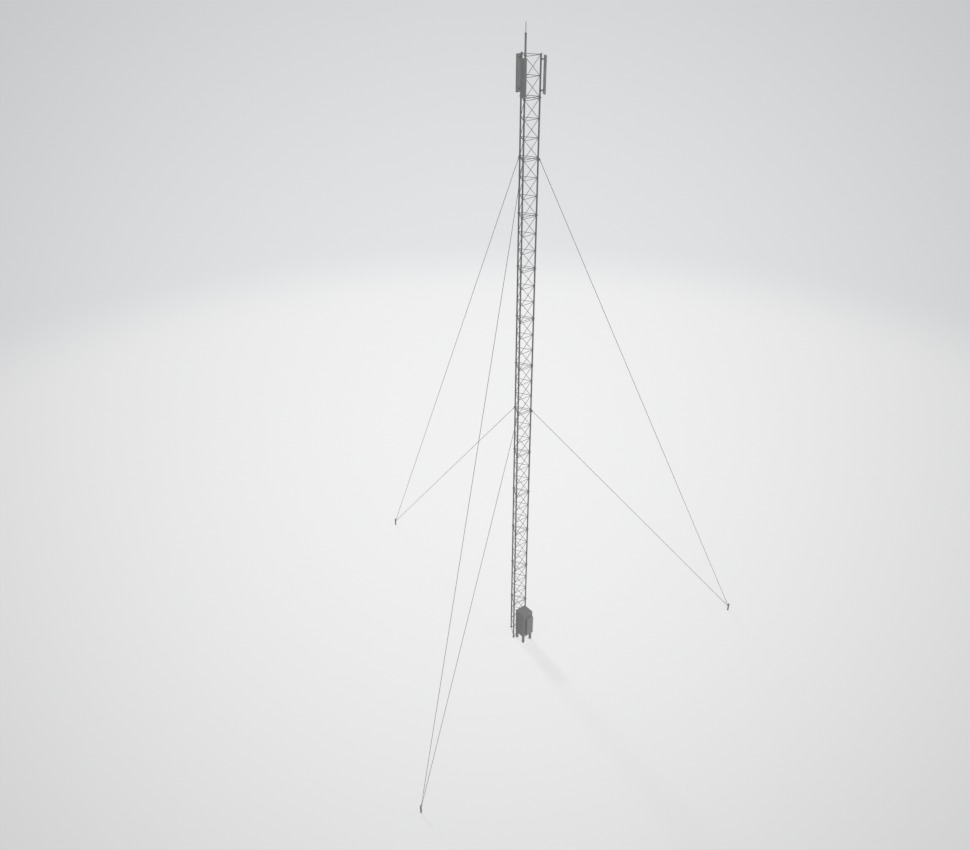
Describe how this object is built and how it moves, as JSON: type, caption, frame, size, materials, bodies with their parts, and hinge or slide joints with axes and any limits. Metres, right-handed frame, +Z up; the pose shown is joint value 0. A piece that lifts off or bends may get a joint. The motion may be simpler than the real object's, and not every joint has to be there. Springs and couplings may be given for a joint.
{
  "type": "guyed lattice radio mast with equipment cabinet",
  "caption": "Slender triangular lattice mast held by guys to anchor posts, with panel antennas and a pole at the top and an equipment cabinet on legs at its foot.",
  "frame": {"origin": "centre of the underside of the front left leg's foot flange, on the ground", "axes": "+X along the front side towards the front right leg, +Y from the front side towards the rear leg, +Z up"},
  "size_m": [26.9534, 23.3423, 39.57],
  "materials": {
    "lattice_steel": "weathered galvanised steel under mid grey paint",
    "guy_strand": "weathered steel strand",
    "forged_fittings": "dark forged steel",
    "anchor_steel": "mid grey paint",
    "antenna_cover": "matt grey moulded cover",
    "cabinet_paint": "mid grey powder coat",
    "cabinet_frame": "mid grey paint",
    "door_seal": "black rubber seal round the doorway"
  },
  "bodies": {
    "mast": {"front_left_leg_lower": "lattice_steel", "front_left_leg_middle": "lattice_steel", "front_left_leg_upper": "lattice_steel", "front_right_leg_lower": "lattice_steel", "front_right_leg_middle": "lattice_steel", "front_right_leg_upper": "lattice_steel", "rear_leg_lower": "lattice_steel", "rear_leg_middle": "lattice_steel", "rear_leg_upper": "lattice_steel", "front_bracing_lower": "lattice_steel", "front_bracing_middle": "lattice_steel", "front_bracing_upper": "lattice_steel", "right_bracing_lower": "lattice_steel", "right_bracing_middle": "lattice_steel", "right_bracing_upper": "lattice_steel", "left_bracing_lower": "lattice_steel", "left_bracing_middle": "lattice_steel", "left_bracing_upper": "lattice_steel", "front_left_upper_guy": "guy_strand", "front_left_lower_guy": "guy_strand", "front_right_upper_guy": "guy_strand", "front_right_lower_guy": "guy_strand", "rear_upper_guy": "guy_strand", "rear_lower_guy": "guy_strand", "front_left_turnbuckles": "forged_fittings", "front_right_turnbuckles": "forged_fittings", "rear_turnbuckles": "forged_fittings", "front_left_anchor_post": "anchor_steel", "front_right_anchor_post": "anchor_steel", "rear_anchor_post": "anchor_steel", "front_left_antenna": "antenna_cover", "front_right_antenna": "antenna_cover", "rear_antenna": "antenna_cover", "antenna_brackets": "lattice_steel", "top_pole": "lattice_steel", "lightning_rod": "forged_fittings", "cabinet_legs": "cabinet_frame", "cabinet_floor": "cabinet_paint", "cabinet_roof": "cabinet_paint", "cabinet_left_wall": "cabinet_paint", "cabinet_right_wall": "cabinet_paint", "cabinet_rear_wall": "cabinet_paint", "cabinet_front_uprights": "cabinet_paint", "cabinet_front_rails": "cabinet_paint", "cabinet_hinges": "forged_fittings"},
    "cabinet_door": {"cabinet_door": "cabinet_paint"}
  },
  "joints": [
    {"name": "cabinet_door_hinge", "type": "hinge", "parent": "mast", "child": "cabinet_door", "pos_m": [0.8495, -0.905, 0.79], "axis": [0, 0, 1], "range_deg": [0, 105]}
  ]
}
